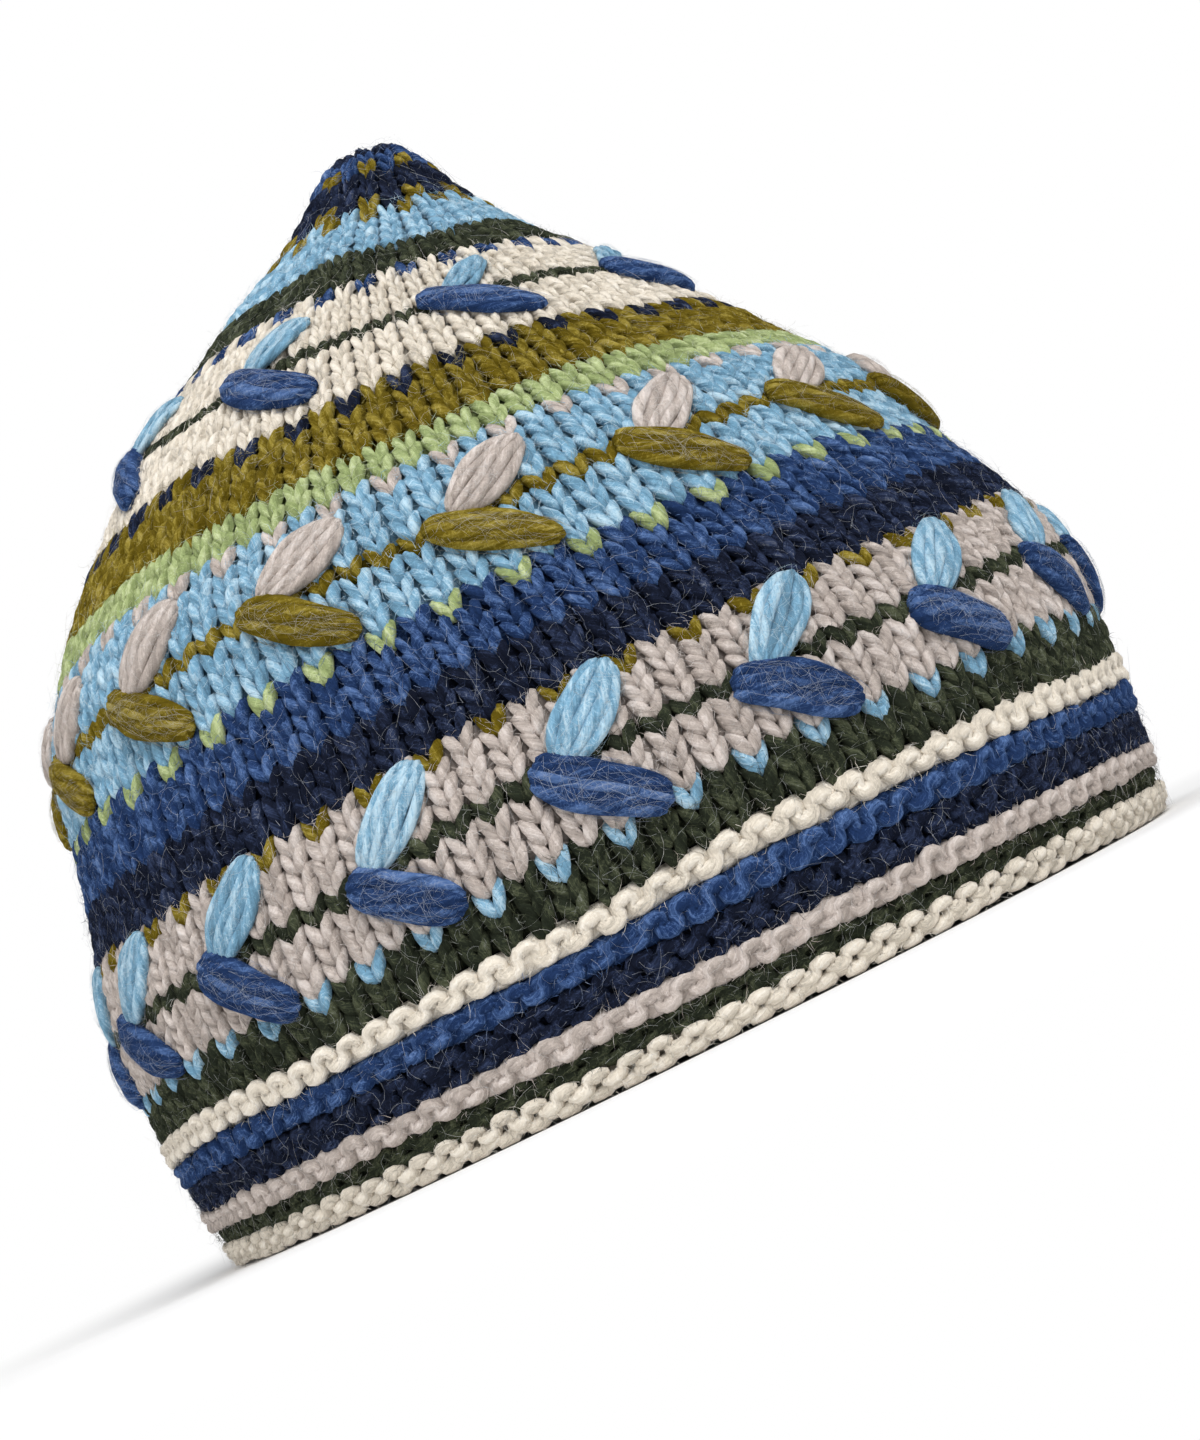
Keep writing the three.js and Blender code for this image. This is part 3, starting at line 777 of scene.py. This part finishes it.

# Fuzz
# Fine alpaca fibres stand off the yarn everywhere: long pale ones, and a dense short nap. A fibre is an arc,
# from t = 0 to 1: right = (sin(heading + turn t) - sin(heading)) run / turn,
# up = (cos(heading) - cos(heading + turn t)) run / turn, and lift = its foot's lift + lean t.
# the long hairs' high tones lift them toward the painted highlight of stray fibres
FUZZ = (
    # name, fibres, stations, thickness, shortest and longest, curve, lowest, lean, darkest and palest tone
    ("hairs", 7000, 6, 0.045, 2.5, 9.0, 2.4, 0.3, 0.9, 0.3, 0.9),
    ("nap", 84000, 3, 0.08, 0.8, 2.8, 1.2, -0.3, 0.55, -0.08, 0.34),
)
FUZZ_DEPTH = 0.6  # millimetres between the lowest and the highest foot in a layer
FUZZ_SPAN = (0.5, OUTLINE_LENGTH - 4.0)  # millimetres of the way that has fuzz
FUZZ_SAMPLES = 2000
FUZZ_ROLL = 0.9
LEAST_TURN = 0.01  # keeps the formula from dividing by nothing
BAND_STRIPES = (
    # yarn, and millimetres up to the stripe's top
    ("cream", 4.6),
    ("dark_green", 7.9),
    ("beige", 12.6),
    ("navy", 18.1),
    ("blue", 23.0),
    ("cream", BAND_HEIGHT),
)
stripe_yarns = [row[0] for row in BAND_STRIPES] + [row[0] for row in STRIPES]
stripe_tops = np.array([row[1] for row in BAND_STRIPES] + [row[2] for row in STRIPES])

reach = np.linspace(*FUZZ_SPAN, FUZZ_SAMPLES)
area = np.cumsum(radius_at(reach))


def fuzz_layer(name, count, stations, thickness, shortest, longest, curve, lowest, lean, darkest, palest):
    """Fibres spread evenly over the hat, in one object for each yarn of the crown and of the band."""
    way = np.interp(JITTER.random(count) * area[-1], area, reach)
    angle = JITTER.uniform(0.0, 2.0 * math.pi, count)
    heading = JITTER.uniform(0.0, 2.0 * math.pi, (count, 1))
    run = JITTER.uniform(shortest, longest, (count, 1))
    turn = curve * JITTER.standard_normal((count, 1)) + LEAST_TURN
    own_lean = np.abs(lean * JITTER.standard_normal((count, 1)))
    t = np.linspace(0.0, 1.0, stations)[None]
    right = (np.sin(heading + turn * t) - np.sin(heading)) * run / turn
    up = (np.cos(heading) - np.cos(heading + turn * t)) * run / turn
    lift = lowest + own_lean * t + FUZZ_DEPTH * JITTER.random((count, 1))
    roll = JITTER.uniform(-FUZZ_ROLL, FUZZ_ROLL, count)
    local = fibre_strips(np.stack([right, up, lift], -1), thickness, roll)
    turned = angle[:, None] + local[..., 0] / radius_at(way)[:, None]
    points = on_hat(np.clip(way[:, None] + local[..., 1], 0.0, OUTLINE_LENGTH), turned, local[..., 2])
    stripe = np.searchsorted(stripe_tops, way)
    for part, node, first, last in (
        ("band_", "band", 0, len(BAND_STRIPES)),
        ("crown_", "crown", len(BAND_STRIPES), len(stripe_yarns)),
    ):
        for yarn in YARNS:
            chosen = np.isin(stripe, [n for n in range(first, last) if stripe_yarns[n] == yarn])
            if chosen.any():
                tone = JITTER.uniform(darkest, palest, chosen.sum())
                fibre_object(part + name + "_" + yarn, [node], yarn, points[chosen], tone)


for layer in FUZZ:
    fuzz_layer(*layer)

# Backing
# Behind the stitches' faces lie their backs and the floats of the second yarns. They show only as dim gaps
# between the legs and the ropes, so each stripe has one plain ring of its own yarn there, darkened as painted
# shade.
BACKING_SIDES, BACKING_ROWS = 60, 3
BACKING_LIFTS = (-2.2, -KNIT_WALL)
CROWN_BACKING_START, BAND_BACKING_START = BAND_HEIGHT + 0.3, 0.8
BACKING_END = OUTLINE_LENGTH - 3.0


def wall_grid(low, high, lifts, rows, sides):
    """Points of a closed wall from low to high, up its outside and down its inside, as a grid."""
    ways = np.linspace(low, high, rows)
    way = np.concatenate([ways, ways[::-1]])[:, None]
    lift = np.repeat(lifts, rows)[:, None]
    angle = np.linspace(0.0, 2.0 * math.pi, sides, endpoint=False)[None]
    way, lift, angle = np.broadcast_arrays(way, lift, angle)
    return on_hat(way, angle, lift)


def backing_ring(low, high):
    return wall_grid(low, high, BACKING_LIFTS, BACKING_ROWS, BACKING_SIDES)


def grid_object(name, nodes, material, grids):
    """One object from closed grids (row, column, 3) that wrap round both ways."""
    points, faces, start = [], [], 0
    for grid in grids:
        here = start + np.arange(grid.shape[0] * grid.shape[1]).reshape(grid.shape[:2])
        right, above = np.roll(here, -1, axis=1), np.roll(here, -1, axis=0)
        faces.append(np.stack([here, right, np.roll(right, -1, axis=0), above], -1).reshape(-1, 4))
        points.append(grid.reshape(-1, 3))
        start += here.size
    mesh = bpy.data.meshes.new(name)
    mesh.from_pydata(np.concatenate(points).tolist(), [], np.concatenate(faces).tolist())
    mesh.polygons.foreach_set("use_smooth", np.ones(len(mesh.polygons), dtype=bool))
    mesh.materials.append(material)
    piece = bpy.data.objects.new(name, mesh)
    bpy.context.scene.collection.objects.link(piece)
    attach(piece, "root")
    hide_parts(*nodes)


backing = {yarn: [] for yarn in YARNS}
foot = CROWN_BACKING_START
for yarn, _, top, _, _ in STRIPES:
    backing[yarn].append(backing_ring(foot, min(top, BACKING_END)))
    foot = top
for yarn, grids in backing.items():
    if grids:
        grid_object("backing_" + yarn, ["crown"], SHADED_BACKS[yarn], grids)
foot = BAND_BACKING_START
for number, (yarn, top) in enumerate(BAND_STRIPES):
    ring = backing_ring(foot, top)
    grid_object("band_backing_" + str(number + 1), ["band"], SHADED_BACKS[yarn], [ring])
    foot = top

# Lining
# A thin cap of short-napped black fleece, sewn in with its hem 8 mm above the rim, on the inside only.
LINING_START, LINING_END = 8.0, OUTLINE_LENGTH - 10.0
LINING_LIFTS = (-4.5, -6.0)
LINING_ROWS, LINING_SIDES = 40, 96
FLEECE_COLOR = (20, 22, 29)
fleece = bpy.data.materials.new("fleece_black")
fleece.use_nodes = True
fleece_tree = fleece.node_tree
fleece_shader = fleece_tree.nodes["Principled BSDF"]
fleece_shader.inputs["Base Color"].default_value = tuple(linear(FLEECE_COLOR)) + (1.0,)
fleece_shader.inputs["Roughness"].default_value = 1.0
fleece_shader.inputs["Specular IOR Level"].default_value = 0.1
fleece_shader.inputs["Sheen Weight"].default_value = 0.35
fleece_place = fleece_tree.nodes.new("ShaderNodeTexCoord")
nap = noise(fleece_tree, fleece_place.outputs["Object"], scale=700.0, detail=3.0)
nap_bump = fleece_tree.nodes.new("ShaderNodeBump")
nap_bump.inputs["Strength"].default_value = 0.8
nap_bump.inputs["Distance"].default_value = 0.6 * MM
fleece_tree.links.new(nap.outputs["Fac"], nap_bump.inputs["Height"])
fleece_tree.links.new(nap_bump.outputs["Normal"], fleece_shader.inputs["Normal"])
cap = wall_grid(LINING_START, LINING_END, LINING_LIFTS, LINING_ROWS, LINING_SIDES)
grid_object("fleece_cap", ["lining"], fleece, [cap])
